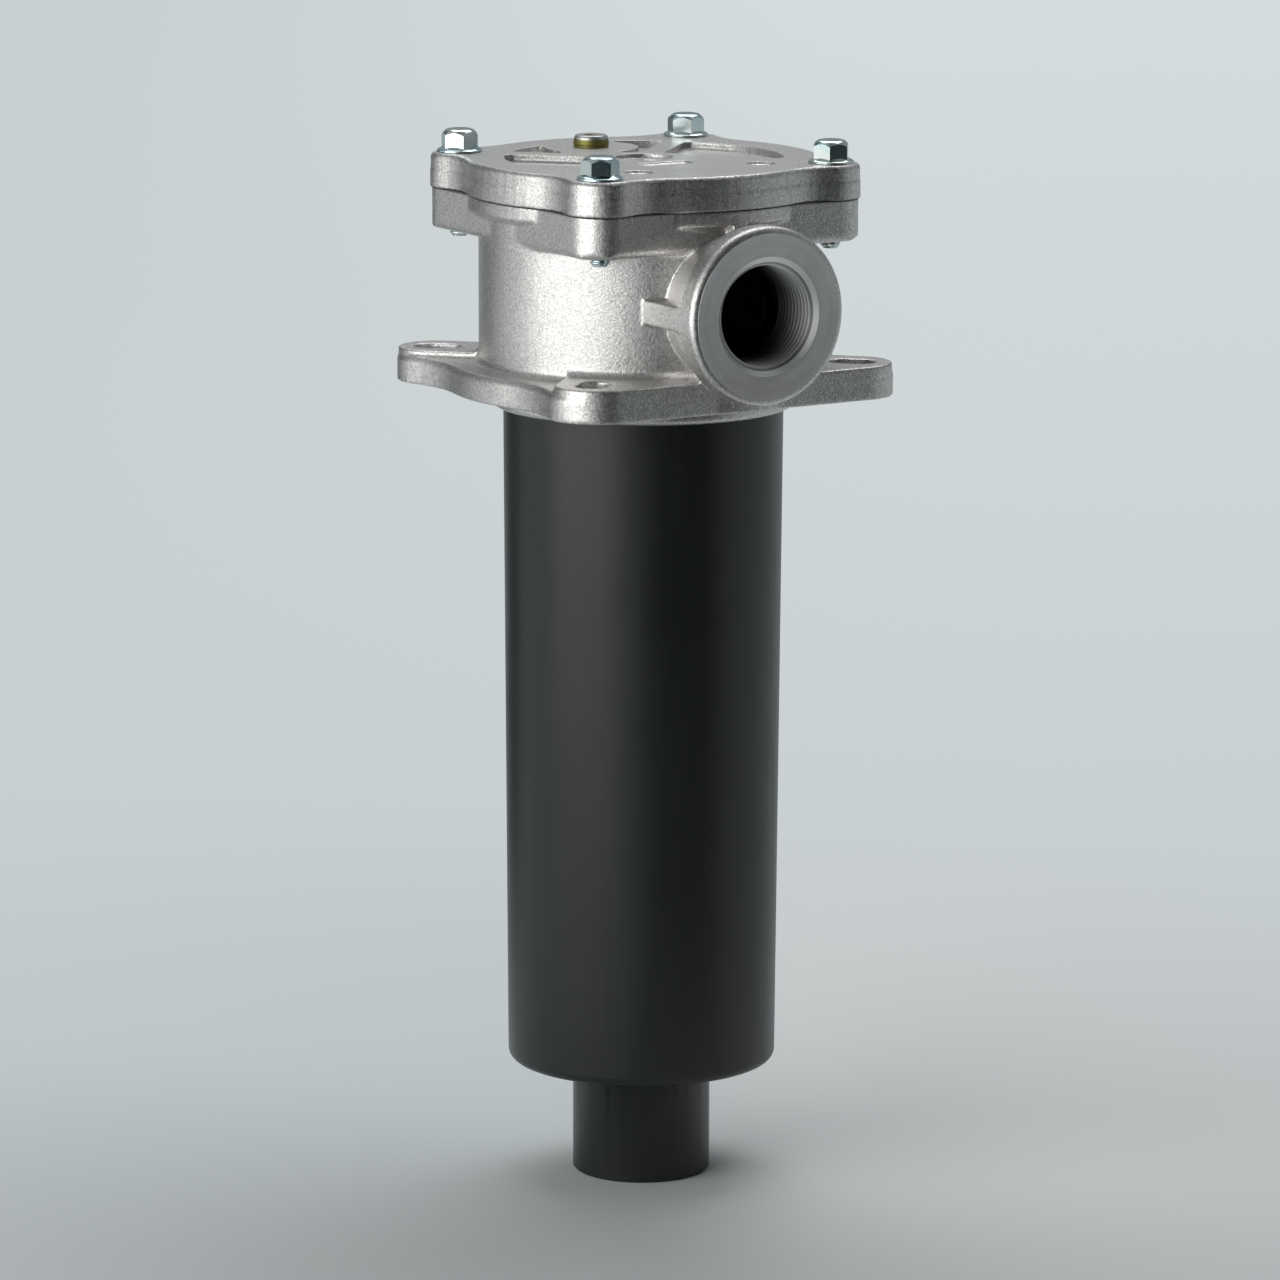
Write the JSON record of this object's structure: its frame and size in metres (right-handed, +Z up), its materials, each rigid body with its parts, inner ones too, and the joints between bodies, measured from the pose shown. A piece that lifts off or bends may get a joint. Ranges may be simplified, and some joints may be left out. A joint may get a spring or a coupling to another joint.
{
  "type": "hydraulic return filter",
  "caption": "Tank-top hydraulic return filter: cast head with a threaded side inlet, slotted mounting lugs and a screwed cover, over a long plastic bowl with an outlet spout.",
  "frame": {"origin": "on the filter axis, on the underside of the mounting flange, which rests on the tank lid", "axes": "+Z up along the filter axis, out of the tank; the lugs and cover screws lie on X and Y; the inlet faces halfway between +X and -Y"},
  "size_m": [0.199, 0.199, 0.4163],
  "materials": {
    "cast_aluminium": "as cast, fine grain",
    "cast_aluminium_cover": "as cast, fine grain",
    "zinc_steel": "zinc plated, faint blue tint",
    "passivated_steel": "yellow passivated zinc",
    "black_nylon": "satin moulded",
    "rubber": "smooth",
    "spring_steel": "drawn wire",
    "sheet_steel": "zinc plated sheet",
    "filter_paper": "pleated, matt",
    "poppet_plastic": "moulded"
  },
  "bodies": {
    "housing": {"head": "cast_aluminium", "cover": "cast_aluminium_cover", "cover_seal": "rubber", "cover_screw_front": "zinc_steel", "cover_screw_right": "zinc_steel", "cover_screw_rear": "zinc_steel", "cover_screw_left": "zinc_steel", "gauge_port_plug": "passivated_steel", "plug_sealing_ring": "passivated_steel", "bowl": "black_nylon", "bowl_seal": "rubber", "hold_down_spring": "spring_steel", "element_top_cap": "sheet_steel", "element_media": "filter_paper", "element_core": "sheet_steel", "element_bottom_cap": "sheet_steel", "element_seal": "rubber", "bypass_seat": "black_nylon", "bypass_spring": "spring_steel", "bypass_cage": "black_nylon"},
    "poppet": {"bypass_poppet": "poppet_plastic"}
  },
  "joints": [
    {"name": "bypass_opening", "type": "slide", "parent": "housing", "child": "poppet", "axis": [0, 0, -1], "range_m": [0, 0.006], "stiffness_N_per_m": 3000, "springref_m": -0.004, "deforming": ["bypass_spring"]}
  ]
}
